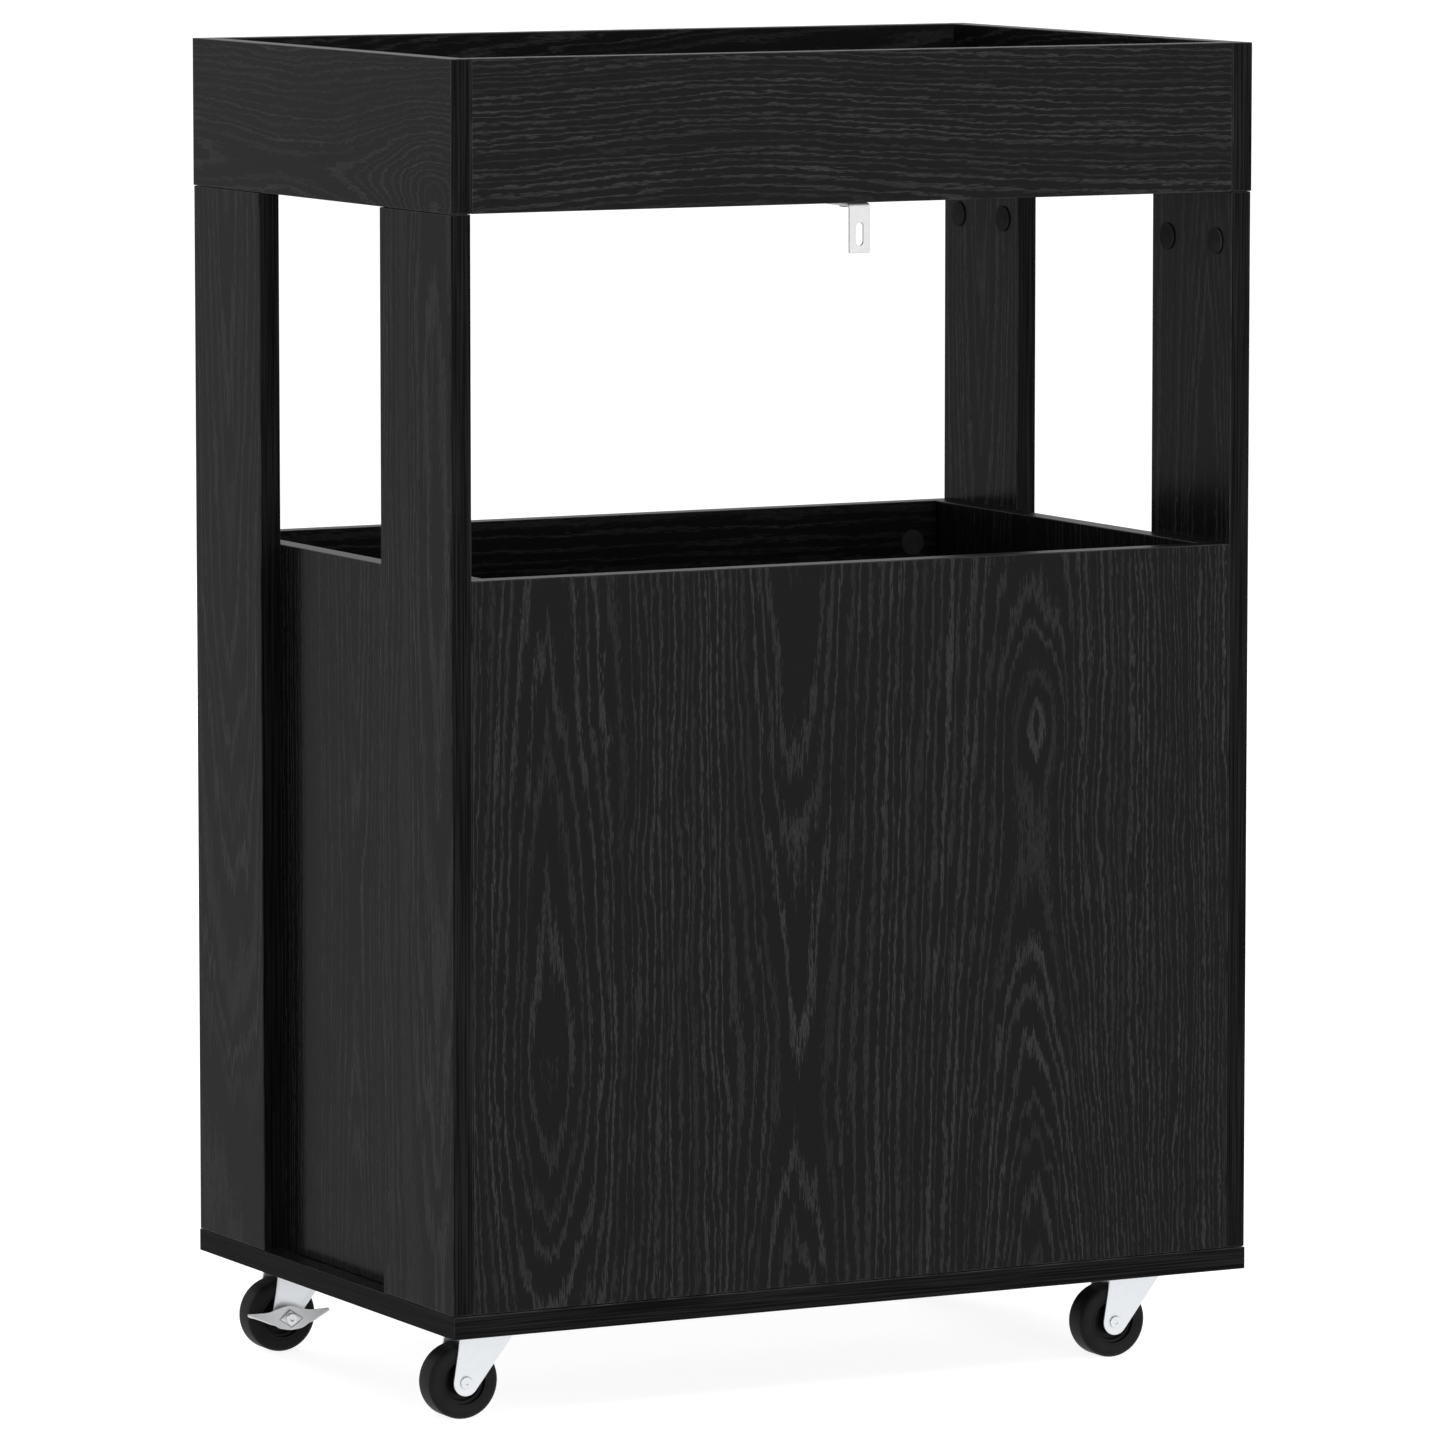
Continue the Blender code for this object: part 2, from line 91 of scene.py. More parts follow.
# Wheels, the tyre's groove as radius and depth, the hub's web as radius and height
tyre_shoulder_radius = 0.004
tyre_shoulder_steps = 10
tyre_groove = [(0.0170, 0), (0.0167, 0.0003), (0.0162, 0.0003), (0.0159, 0)]
tyre_groove_rounding = 0.0002
tyre_bore_gap = 0.0001
hub_bore_radius = 0.0033
hub_boss_radius = 0.0055
hub_web = [(0.0057, 0.0032), (0.0065, 0.0025), (0.0115, 0.0025), (0.0127, 0.0036), (0.0130, 0.0072)]
hub_rim_half_width = 0.0072
hub_rounding = 0.0005

# Rivets and ball race. The rivet's head is measured from its seat, the kingpin's from its low end.
rivet_head = [(0, 0.0003), (0.0011, 0.0004), (0.0015, 0.0010), (0.0037, 0.0010), (0.0043, 0.0006),
              (0.0043, 0), (0.003, 0)]
rivet_rounding = 0.0003
rivet_seat_from_end = 0.0015
kingpin_radius = 0.004
kingpin_head = [(0.004, 0.0022), (0.0065, 0.0022), (0.0063, 0.0013), (0.0042, 0.0003), (0, 0)]
kingpin_rounding = 0.0004
race_bore_radius = 0.0045
race_chamfer_run = 0.0006
race_chamfer_rise = 0.0005
race_groove_half_height = 0.0002
race_groove_half_floor = 0.0001
race_groove_depth = 0.0009
race_rounding = 0.0002

# Fork, its head round the kingpin and its legs down to the axle
leg_side_gap = 0.0007
leg_thickness = 0.0015
leg_end_radius = 0.009
leg_end_steps = 24
leg_root_back = 0.0127
leg_root_front = 0.0263
head_radius = 0.019
head_thickness = 0.0018
fork_bend_radius = 0.0022
fork_nose_past_axle = 0.0081
fork_nose_share = 0.6
brow_radius_share = 0.86
brow_angle_share = 0.8
fork_axle_hole_radius = 0.0032
fork_pin_hole_radius = 0.0043

# Caster plate and its screws
plate_corner_radius = 0.006
plate_corner_steps = 8
plate_hole_radius = 0.0026
plate_hole_from_edge = 0.0068
plate_pin_hole_radius = 0.0042
plate_screw_radius = 0.0041
plate_screw_height = 0.0019
plate_screw_shank_radius = 0.0018
plate_screw_shank_length = 0.0025

# Screw heads, in shares of their radius or height
screw_crown_share = 0.5
screw_crown_steps = 16
screw_shoulder_share = 0.93
screw_shoulder_height_share = 0.55
screw_rounding = 0.0005
cross_half_width_share = 0.11
cross_half_length_share = 0.46
cross_depth_share = 0.45
cross_least_height_share = 0.5

# Wall bracket and its screw
bracket_thickness = 0.002
bracket_bend_radius = 0.0039
bracket_corner_radius = 0.0012
slot_width = 0.0054
slot_length = 0.0153
slot_from_corner = 0.0127
bracket_screw_room = 0.0022
bracket_screw_height = 0.0013
bracket_screw_shank_radius = 0.002

# Cam caps
cap_rim_radius = 0.009
cap_rim_height = 0.001
cap_body_radius = 0.0072
cap_body_length = 0.004
cap_rounding = 0.0006

# Brake pedal, measured from its axle, with Y outwards. The boss is radius and Y.
pedal_half_length = 0.0305
pedal_wing_depth = 0.0135
pedal_lobe_depth = 0.0030
pedal_lobe_half_length = 0.0135
pedal_tip_depth = 0.0022
pedal_thickness = 0.0014
pedal_tip_above_axle = 0.004
pedal_middle_rise = 0.0038
pedal_rise_half_length = 0.018
pedal_sheet_y = 0.02096
pedal_middle_tilt = math.radians(20)
pedal_tip_tilt = math.radians(72)
pedal_taper_power = 1.6
pedal_relief_y = 0.0232
pedal_relief_half_length = 0.0080
pedal_relief_half_height = 0.0054
pedal_relief_flat_share = 0.7
pedal_relief_steepness = 2.2
pedal_bore_radius = 0.0034
pedal_bore_snap_share = 1.4
pedal_boss = [(0.0060, 0.0130), (0.0060, 0.0145), (0.0050, 0.0155), (0.0050, 0.0185),
              (0.0041, 0.0190), (0.0041, 0.0203)]
pedal_boss_rounding = 0.0003
pedal_grid = (96, 28)
pedal_rim_angle = math.radians(50)

# Black oak laminate. A board's figure is a field whose whole values are the growth rings. An arch
# is a line along the grain where the rings turn back: its place across the board, its kind (1 for
# a crest, -1 for a trough), how fast the field climbs along the grain below and above its turn,
# the turn itself, and the half-width of its calm middle. A swirl is a hump in the field: its place
# across and along, its height in rings, and its half-widths across and along.
arches = {
    "back_panel": [(0.231, 1, 24, -8, 0.225, 0.05), (0.047, -1, 14, -8.5, 0.20, 0.075),
                   (-0.1376, 1, -28, -11, 0.36, 0.065)],
    "side_panel_right": [(0.02, -1, 9, -8, 0.33, 0.04)],
    "side_panel_left": [(-0.05, 1, 8, -11, 0.25, 0.05)],
    "front_rail": [(0.45, 1, 6, -8, 0.1, 0.05)],
    "base_board": [(0.07, 1, -7, 9, 0, 0.05), (-0.11, -1, 8, -6, 0.12, 0.04)],
    "bin_floor": [(0.04, 1, 9, -6, -0.08, 0.04), (-0.1, -1, -7, 8, 0.05, 0.05)],
    "tray_floor": [(-0.06, 1, 9, -8, 0.1, 0.05), (0.09, -1, -8, 7, -0.1, 0.04)],
    "tray_side_right": [(0.818, -1, 12, -8, -0.05, 0.03)],
    "tray_side_left": [(0.865, 1, 20, -14, 0.05, 0.04)],
    "tray_rail_back": [(0.772, 1, 5, -5, 0.16, 0.035)],
    "tray_rail_front": [(0.93, 1, 20, 20, 0, 0.03)],
    "post_front_right": [(-0.146, -1, -16, -10, 0.525, 0.04)],
    "post_back_right": [(0.178, 1, 6, -6, 0.58, 0.05)],
    "post_front_left": [(-0.145, -1, -24, -12, 0.5, 0.04)],
    "post_back_left": [(0.165, -1, -22, 12, 0.52, 0.035)],
}
swirls = {
    "back_panel": [(-0.1376, 0.447, 3.2, 0.022, 0.045), (0.231, 0.23, 0.35, 0.05, 0.3),
                   (0.047, 0.25, -0.3, 0.05, 0.3)],
    "tray_side_right": [(0.785, 0.175, -12, 0.05, 0.05)],
    "tray_rail_back": [(0.85, 0.083, 3.2, 0.3, 0.15)],
    "side_panel_left": [(0.05, 0.4, 3, 0.03, 0.05)],
    "tray_floor": [(0.02, -0.12, 4, 0.03, 0.05)],
}
grain_along_x = ("base_board", "bin_floor", "tray_floor", "front_rail", "tray_rail_front",
                 "tray_rail_back")
grain_along_y = ("tray_side_left", "tray_side_right")

# Rings per metre beside an arch, the share of them on boards with fewer, and how unevenly they lie.
# The tip is the sharper bend of the rings right on an arch's line.
ring_rate = 240
slow_boards = {
    "post_back_right": 0.5, "post_front_right": 0.35, "post_back_left": 0.85,
    "post_front_left": 0.7, "tray_side_right": 0.45, "tray_rail_back": 0.75,
    "tray_rail_front": 0.35, "front_rail": 0.4,
}
usual_unevenness = 3.4
even_boards = {
    "back_panel": 2.5, "tray_rail_back": 1.2, "tray_rail_front": 2.0, "tray_side_right": 1.6,
}
uneven_waves = 0.4
tip_rate = 60
tip_foot = 0.004
narrow_calm = 0.035
arch_reach = 0.045
turn_foot = 0.020
seed_step = 7.3

# What bends the rings: waves per metre across and along the grain, and shifts in metres or rings
drift_waves = (14, 3)
wobble_waves = (90, 18)
ripple_waves = (110, 85)
spike_waves = (240, 9)
drift_shift = 0.012
wobble_shift = 0.005
ripple_shift = 0.0026
drift_rings = 3.2
spike_rings = 1.1
pore_rings = 0.8

# What breaks a ring's band up, and the painted highlight along the boards' corners. A strength is a
# ramp: where it starts and stops, and then its values there if they are not 0 and 1.
pore_waves = (1200, 110)
fibre_waves = (2600, 60)
depth_waves = 100
cloud_waves = (30, 9)
speckle_waves = (1500, 260)
stripe_waves = (900, 9)
edge_highlight_waves = 35
pore_share = 0.34
band_softness = 0.10
ring_step = 0.73
ring_strength = (-0.2, 0.15, 0.4, 1)
cloud_strength = (-0.25, 0.2, 0.6, 1)
speckle_strength = (-0.2, 0.25, 0.5, 1.15)
stripe_strength = (-0.16, 0.22)
edge_highlight_strength = (-0.3, 0.25)
fibre_share = 0.12
facing = (0.6, 0.8)
# The painted highlight along the boards' corners: its width, and the share of it at full strength
edge_highlight_width = 0.0009
edge_highlight_core_share = 0.3

face_black = (0.0072, 0.0072, 0.0074)
face_grain = (0.0295, 0.0295, 0.0301)
edge_black = (0.0020, 0.0020, 0.0021)
edge_grain = (0.0100, 0.0100, 0.0103)
# Colour of the painted highlight along the corners
edge_highlight_colour = (0.0340, 0.0340, 0.0346)
edge_roughness = 0.55
face_smoother = 0.37
rim_smoother = 0.20
band_roughness = 0.08
pore_roughness = 0.05
grain_metallic = 0.14
oak_specular = 0.030
pore_bump_ramp = (-0.2, 0.2)
pore_depth = 0.00006
pore_bump = 0.5

# Moulded plastic and rubber
skin_waves = 2500
plastic_cloud_waves = 90
plastic_cloud_ramp = (-0.3, 0.3)
plastic_cloud_brightness = 1.5
plastic_cloud_roughness = 0.15
skin_roughness = 0.1
skin_depth = 0.00004
skin_bump = 0.6

# Plated steel, with painted shade in the crease round the pedal's diamond
plate_cloud_waves = 160
polish_waves = (500, 500, 4500)
plate_cloud_ramp = (-0.25, 0.2)
plate_cloud_roughness = 0.12
polish_roughness = 0.08
plate_depth = 0.00002
plate_bump = 0.5
# Painted shade in the crease: its grey, where it rises and falls round the diamond, and how marks
# break it
crease_shade_grey = (0.16, 0.165, 0.17)
crease_shade_inner = (0.98, 1.06)
crease_shade_outer = (1.08, 1.2, 1, 0)
crease_shade_breaks = (-0.3, 0.1, 0.5, 1)


class Wire:
    """The output of a shader node, on which arithmetic adds Math nodes."""

    def __init__(self, tree, socket):
        self.tree = tree
        self.socket = socket

    def math(self, operation, *others):
        node = self.tree.nodes.new("ShaderNodeMath")
        node.operation = operation
        for slot, value in zip(node.inputs, (self, *others)):
            feed(slot, value)
        return Wire(self.tree, node.outputs[0])

    def __add__(self, other):
        return self.math('ADD', other)

    def __sub__(self, other):
        return self.math('SUBTRACT', other)

    def __mul__(self, other):
        return self.math('MULTIPLY', other)

    def __truediv__(self, other):
        return self.math('DIVIDE', other)

    def rounded_abs(self, radius):
        """The distance from zero, with a round foot instead of a sharp one."""
        return (self * self + radius * radius).math('SQRT')

    def ramp(self, start, stop, low=0, high=1):
        """A soft step between two values."""
        node = self.tree.nodes.new("ShaderNodeMapRange")
        node.interpolation_type = 'SMOOTHSTEP'
        for slot, value in zip(node.inputs, (self, start, stop, low, high)):
            feed(slot, value)
        return Wire(self.tree, node.outputs[0])


def feed(slot, value):
    """Links a wire to an input, or sets the input to a plain value."""
    if isinstance(value, Wire):
        value.tree.links.new(value.socket, slot)
    else:
        slot.default_value = value


def point(tree, *parts):
    """A vector from three wires or numbers."""
    node = tree.nodes.new("ShaderNodeCombineXYZ")
    for slot, value in zip(node.inputs, parts):
        feed(slot, value)
    return Wire(tree, node.outputs[0])


def parts_of(tree, source, output):
    """The three parts of a vector output of an input node."""
    node = tree.nodes.new("ShaderNodeSeparateXYZ")
    tree.links.new(tree.nodes.new(source).outputs[output], node.inputs[0])
    return [Wire(tree, socket) for socket in node.outputs]


def noise(place, detail=2):
    """Noise of about unit grain, centred on zero."""
    node = place.tree.nodes.new("ShaderNodeTexNoise")
    feed(node.inputs["Vector"], place)
    node.inputs["Scale"].default_value = 1
    node.inputs["Detail"].default_value = detail
    return Wire(place.tree, node.outputs[0]) - 0.5


def even_noise(place, waves, detail=2):
    """Noise with the same waves per metre in every direction."""
    return noise(point(place[X].tree, *(part * waves for part in place)), detail)


def blend(factor, first, second):
    """A colour between two colours, each a tuple or a wire."""
    node = factor.tree.nodes.new("ShaderNodeMix")
    node.data_type = 'RGBA'
    for name, value in (("Factor_Float", factor), ("A_Color", first), ("B_Color", second)):
        slot = next(s for s in node.inputs if s.identifier == name)
        feed(slot, value if isinstance(value, Wire) else (*value, 1))
    return Wire(factor.tree, next(s for s in node.outputs if s.identifier == "Result_Color"))


def new_material(name):
    """A node material with its tree and its Principled shader."""
    material = bpy.data.materials.new(name)
    material.use_nodes = True
    tree = material.node_tree
    return material, tree, tree.nodes["Principled BSDF"]


def raise_surface(tree, shader, height, depth, strength):
    """Adds a bump from a height wire, in shares of a depth."""
    bump = tree.nodes.new("ShaderNodeBump")
    bump.inputs["Strength"].default_value = strength
    bump.inputs["Distance"].default_value = depth
    feed(bump.inputs["Height"], height)
    tree.links.new(bump.outputs[0], shader.inputs["Normal"])


def board_noise(across, along, waves, layer, detail=2):
    """Noise stretched along a board's grain, in a layer given by a number or a wire."""
    return noise(point(across.tree, across * waves[0], along * waves[1], layer), detail)


def growth_rings(tree, across, along, seed, name):
    """A board's ring field: parallel rings that turn back at each arch and round each swirl."""
    drift = board_noise(across, along, drift_waves, seed)
    wobble = board_noise(across, along, wobble_waves, seed)
    ripple = board_noise(across, along, ripple_waves, seed)
    spikes = board_noise(across, along, spike_waves, seed)
    shifted = across + drift * drift_shift + wobble * wobble_shift + ripple * ripple_shift
    rate = ring_rate * slow_boards.get(name, 1)
    field = drift * drift_rings + spikes * spike_rings + seed
    for place, kind, below, above, turn, calm in arches[name]:
        offset = shifted - place
        field = field - offset.rounded_abs(calm) * (kind * rate)
        field = field - offset.rounded_abs(tip_foot) * (kind * tip_rate * (narrow_calm / calm) ** 2)
        climb = (along - turn) * ((above + below) / 2)
        climb = climb + (along - turn).rounded_abs(turn_foot) * ((above - below) / 2)
        nearness = (offset * offset / arch_reach ** 2 + 1).math('POWER', -1)
        field = field + climb * nearness
    if len(arches[name]) % 2 == 0:
        field = field + shifted * rate
    for place, height_along, height, wide, long in swirls.get(name, []):
        near_across = (shifted - place) / wide
        near_along = (along - height_along) / long
        hump = (near_across * near_across + near_along * near_along + 1).math('POWER', -1)
        field = field + hump * height
    unevenness = noise(point(tree, field * uneven_waves, seed, 0), detail=1)
    return field + unevenness * even_boards.get(name, usual_unevenness)


def oak_laminate(name, box, seed):
    """Black oak laminate on a board's two faces, with striped banding on its edges."""
    material, tree, shader = new_material(f"black_oak_{name}")
    size = box[1] - box[0]
    thick = min((X, Y, Z), key=lambda axis: size[axis])
    grain = X if name in grain_along_x else Y if name in grain_along_y else Z
    width = 3 - thick - grain
    place = parts_of(tree, "ShaderNodeTexCoord", "Object")
    normal = parts_of(tree, "ShaderNodeTexCoord", "Normal")
    across, along, deep = place[width], place[grain], place[thick]

    layer = deep * depth_waves + seed
    pores = board_noise(across, along, pore_waves, layer, detail=1)
    fibres = board_noise(across, along, fibre_waves, layer, detail=1)
    rings = growth_rings(tree, across, along, seed, name) + pores * pore_rings
    turn = rings.math('FRACT')
    band = (turn.ramp(0, band_softness)
            * turn.ramp(pore_share - band_softness, pore_share + band_softness, 1, 0))
    ring_number = point(tree, rings.math('FLOOR') * ring_step, seed, 0)
    strength = noise(ring_number, detail=0).ramp(*ring_strength)
    clouds = board_noise(across, along, cloud_waves, seed).ramp(*cloud_strength)
    speckle = board_noise(across, along, speckle_waves, seed, detail=1).ramp(*speckle_strength)
    figure = band * strength * clouds * speckle + fibres * fibre_share

    stripe_layer = across * stripe_waves[1] + seed
    banding = board_noise(deep, along, stripe_waves, stripe_layer, detail=3).ramp(*stripe_strength)

    face = blend(figure, face_black, face_grain)
    edge = blend(banding, edge_black, edge_grain)
    on_face = normal[thick].math('ABSOLUTE').ramp(*facing)
    on_rim = normal[Z].ramp(*facing) * (on_face * -1 + 1)
    # Painted highlight: a lighter colour along the boards' corners, in patches
    painted_edge_highlight = near_corner(place, box) * even_noise(place, edge_highlight_waves).ramp(*edge_highlight_strength)
    feed(shader.inputs["Base Color"], blend(painted_edge_highlight, blend(on_face, edge, face), edge_highlight_colour))
    face_part = (band * band_roughness + pores * pore_roughness - face_smoother) * on_face
    feed(shader.inputs["Roughness"], face_part - on_rim * rim_smoother + edge_roughness)
    feed(shader.inputs["Metallic"], figure * on_face * grain_metallic)
    shader.inputs["Specular IOR Level"].default_value = oak_specular
    raise_surface(tree, shader, band * pores.ramp(*pore_bump_ramp) * -1, pore_depth, pore_bump)
    return material


def near_corner(place, box):
    """One along a board's corners, falling to zero at the width of the painted edge highlight."""
    depths = []
    for part, low, high in zip(place, *box):
        depths.append(((part - (low + high) / 2).math('ABSOLUTE') - (high - low) / 2) * -1)
    deepest = depths[X].math('MAXIMUM', depths[Y]).math('MAXIMUM', depths[Z])
    least = depths[X].math('MINIMUM', depths[Y]).math('MINIMUM', depths[Z])
    from_corner = depths[X] + depths[Y] + depths[Z] - deepest - least
    return from_corner.ramp(edge_highlight_width * edge_highlight_core_share, edge_highlight_width, 1, 0)


def moulded_plastic(name, color, roughness, specular):
    """Black plastic or rubber with a fine moulded skin."""
    material, tree, shader = new_material(name)
    place = parts_of(tree, "ShaderNodeTexCoord", "Object")
    skin = even_noise(place, skin_waves, detail=3)
    cloud = even_noise(place, plastic_cloud_waves, detail=3)
    light = tuple(plastic_cloud_brightness * part for part in color)
    feed(shader.inputs["Base Color"], blend(cloud.ramp(*plastic_cloud_ramp), color, light))
    feed(shader.inputs["Roughness"],
         cloud * plastic_cloud_roughness + skin * skin_roughness + roughness)
    shader.inputs["Specular IOR Level"].default_value = specular
    raise_surface(tree, shader, skin, skin_depth, skin_bump)
    return material


def plated_steel(name, color, roughness, spangle, metallic, crease_shaded=False):
    """Zinc plate or steel with faint clouds, polishing marks and, if asked, painted shade in the
    pedal's crease.
    """
    material, tree, shader = new_material(name)
    place = parts_of(tree, "ShaderNodeTexCoord", "Object")
    cloud = even_noise(place, plate_cloud_waves, detail=4)
    marks = noise(point(tree, *(part * waves for part, waves in zip(place, polish_waves))))
    dark = tuple((1 - spangle) * part for part in color)
    spangle_and_crease_shade = blend(cloud.ramp(*plate_cloud_ramp), dark, color)
    # Painted shade: a grey line round the pedal's raised diamond, broken up by the polishing marks
    if crease_shaded:
        along, up = place[X].math('ABSOLUTE'), place[Z].math('ABSOLUTE')
        from_middle = along / pedal_relief_half_length + up / pedal_relief_half_height
        crease = from_middle.ramp(*crease_shade_inner) * from_middle.ramp(*crease_shade_outer)
        spangle_and_crease_shade = blend(crease * marks.ramp(*crease_shade_breaks), spangle_and_crease_shade, crease_shade_grey)
    feed(shader.inputs["Base Color"], spangle_and_crease_shade)
    feed(shader.inputs["Roughness"],
         cloud * plate_cloud_roughness + marks * polish_roughness + roughness)
    shader.inputs["Metallic"].default_value = metallic
    raise_surface(tree, shader, marks + cloud, plate_depth, plate_bump)
    return material


def from_bmesh(name, shape):
    """A mesh shaded smooth, but for its sharp edges."""
    bmesh.ops.recalc_face_normals(shape, faces=shape.faces)
    mesh = bpy.data.meshes.new(name)
    shape.to_mesh(mesh)
    shape.free()
    mesh.shade_smooth()
    mesh.set_sharp_from_angle(angle=sharp_angle)
    return mesh


def smooth_step(share):
    """A share from 0 to 1, eased at both ends."""
    return share * share * (3 - 2 * share)


def soften(outline, radius, closed=False):
    """An outline with its corners rounded, where both of a corner's sides have room for it."""
    result = []
    for i, corner in enumerate(outline):
        if not closed and i in (0, len(outline) - 1):
            result.append(corner)
            continue
        corner = Vector(corner)
        before = Vector(outline[i - 1]) - corner
        after = Vector(outline[(i + 1) % len(outline)]) - corner
        cut = min(radius, before.length * corner_share, after.length * corner_share)
        start = corner + before.normalized() * cut
        stop = corner + after.normalized() * cut
        for k in range(corner_steps + 1):
            t = k / corner_steps
            result.append(tuple(start * (1 - t) ** 2 + corner * 2 * t * (1 - t) + stop * t ** 2))
    return result


def turned(name, profile, closed=False, steps=usual_steps):
    """A profile turned round Z."""
    shape = bmesh.new()
    verts = [shape.verts.new((radius, 0, height)) for radius, height in profile]
    pairs = list(zip(verts, verts[1:]))
    if closed:
        pairs.append((verts[-1], verts[0]))
    edges = [shape.edges.new(pair) for pair in pairs]
    bmesh.ops.spin(shape, geom=verts + edges, cent=(0, 0, 0), axis=(0, 0, 1), angle=2 * math.pi,
                   steps=steps, use_duplicate=False)
    bmesh.ops.remove_doubles(shape, verts=shape.verts, dist=merge_distance)
    return from_bmesh(name, shape)


def mirrored(profile, middle_height=0):
    """A profile's points again, in reverse, on the other side of a middle height."""
    return [(radius, 2 * middle_height - height) for radius, height in reversed(profile)]


def arc(centre, radius, start, stop, steps=16):
    """Points on a circular arc, both ends included."""
    angles = [start + (stop - start) * i / steps for i in range(steps + 1)]
    return [(centre[0] + radius * math.cos(a), centre[1] + radius * math.sin(a)) for a in angles]


def circle(centre, radius):
    """A closed circle as an outline."""
    return arc(centre, radius, 0, 2 * math.pi, 32)[:-1]


def slot_outline(centre, length, width):
    """A slot along Y with round ends."""
    half_straight = (length - width) / 2
    top = arc((centre[0], centre[1] + half_straight), width / 2, 0, math.pi)
    return top + arc((centre[0], centre[1] - half_straight), width / 2, math.pi, 2 * math.pi)


def tangent_angle(centre, radius, start, way):
    """Where a line from a point touches a circle, as an angle at its centre, on the side of way."""
    x = start[0] - centre[0]
    y = start[1] - centre[1]
    return math.atan2(y, x) + way * math.acos(radius / math.hypot(x, y))


def sheet(name, outlines, thickness):
    """A flat sheet with holes, its edges slightly rounded, as a bmesh centred on its plane."""
    curve = bpy.data.curves.new(name, 'CURVE')
    curve.dimensions = '2D'
    curve.fill_mode = 'BOTH'
    curve.extrude = thickness / 2 - sheet_edge_radius
    curve.bevel_depth = sheet_edge_radius
    curve.bevel_resolution = sheet_edge_steps
    curve.offset = -sheet_edge_radius
    for outline in outlines:
        spline = curve.splines.new('POLY')
        spline.points.add(len(outline) - 1)
        for knot, (x, y) in zip(spline.points, outline):
            knot.co = (x, y, 0, 1)
        spline.use_cyclic_u = True
    guide = bpy.data.objects.new(name, curve)
    bpy.context.scene.collection.objects.link(guide)
    bpy.context.view_layer.update()
    filled = guide.evaluated_get(bpy.context.evaluated_depsgraph_get())
    mesh = bpy.data.meshes.new_from_object(filled)
    shape = bmesh.new()
    shape.from_mesh(mesh)
    bmesh.ops.remove_doubles(shape, verts=shape.verts, dist=merge_distance)
    bpy.data.objects.remove(guide)
    return shape


def fold(shape, flat_reach, radius, ways=(-1, 1)):
    """Bends a sheet down along Y beyond a flat reach, with a radius at its middle plane."""
    quarter = radius * math.pi / 2
    for way in ways:
        for i in range(fold_steps + 1):
            parts = list(shape.verts) + list(shape.edges) + list(shape.faces)
            bmesh.ops.bisect_plane(shape, geom=parts, dist=bisect_tolerance, plane_no=(0, 1, 0),
                                   plane_co=(0, way * (flat_reach + quarter * i / fold_steps), 0))
    for vertex in shape.verts:
        x, y, above = vertex.co
        way = math.copysign(1, y)
        beyond = abs(y) - flat_reach
        if way not in ways or beyond <= 0:
            continue
        angle = min(beyond, quarter) / radius
        out = flat_reach + (radius + above) * math.sin(angle)
        drop = radius - (radius + above) * math.cos(angle) + max(0, beyond - quarter)
        vertex.co = (x, way * out, -drop)
    return shape


def show(name, mesh, material, body, stands_for=None, place=(0, 0, 0), turn=upright):
    """Adds a piece that rides on a body and may stand for a CAD node."""
    piece = bpy.data.objects.new(name, mesh)
    bpy.context.scene.collection.objects.link(piece)
    piece.location = place
    piece.rotation_euler = turn
    if not mesh.materials:
        mesh.materials.append(material)
    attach(piece, body)
    if stands_for:
        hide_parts(stands_for)


def middle(node):
    """The centre of a CAD node's box."""
    low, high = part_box(node)
    return (low + high) / 2


def extent(node, axis):
    """The size of a CAD node's box along an axis."""
    low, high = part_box(node)
    return high[axis] - low[axis]


def tyre_mesh(radius, width, bore):
    """The tyre: a flat tread, round shoulders and a fine groove round each side."""
    half = width / 2
    centre = (radius - tyre_shoulder_radius, half - tyre_shoulder_radius)
    shoulder = arc(centre, tyre_shoulder_radius, 0, math.pi / 2, tyre_shoulder_steps)
    side = [(groove, half - depth) for groove, depth in tyre_groove]
    upper = shoulder + soften([shoulder[-1], *side, (bore, half)], tyre_groove_rounding)[1:]
    return turned("tyre", upper + mirrored(upper), closed=True, steps=fine_steps)


def hub_mesh(rim_radius, half_width):
    """The hub: a stepped rim, a thin web and a boss."""
    upper = soften([(hub_bore_radius, half_width), (hub_boss_radius, half_width), *hub_web,
                    (rim_radius, hub_rim_half_width)], hub_rounding)
    return turned("hub", upper + mirrored(upper), closed=True)


def rivet_mesh(low, high):
    """The axle: a rivet with a low flat head and a hollow middle at each end."""
    upper = [(radius, high + above) for radius, above in rivet_head]
    lower = mirrored(upper, (low + high) / 2)
    profile = soften(upper, rivet_rounding) + soften(lower, rivet_rounding)
    return turned("rivet", profile, steps=small_steps)


def race_mesh(low, high, radius):
    """The ball race: two pressed cups with a groove between them."""
    middle_height = (low + high) / 2
    upper = [(race_bore_radius, high),
             (radius - race_chamfer_run, high),
             (radius, high - race_chamfer_rise),
             (radius, middle_height + race_groove_half_height),
             (radius - race_groove_depth, middle_height + race_groove_half_floor)]
    profile = soften(upper + mirrored(upper, middle_height), race_rounding, closed=True)
    return turned("race", profile, closed=True)


def kingpin_mesh(low, high):
    """The kingpin's rivet, with a domed head under the fork."""
    profile = [(0, high), (kingpin_radius, high)]
    profile += [(radius, low + above) for radius, above in kingpin_head]
    return turned("kingpin", soften(profile, kingpin_rounding), steps=small_steps)


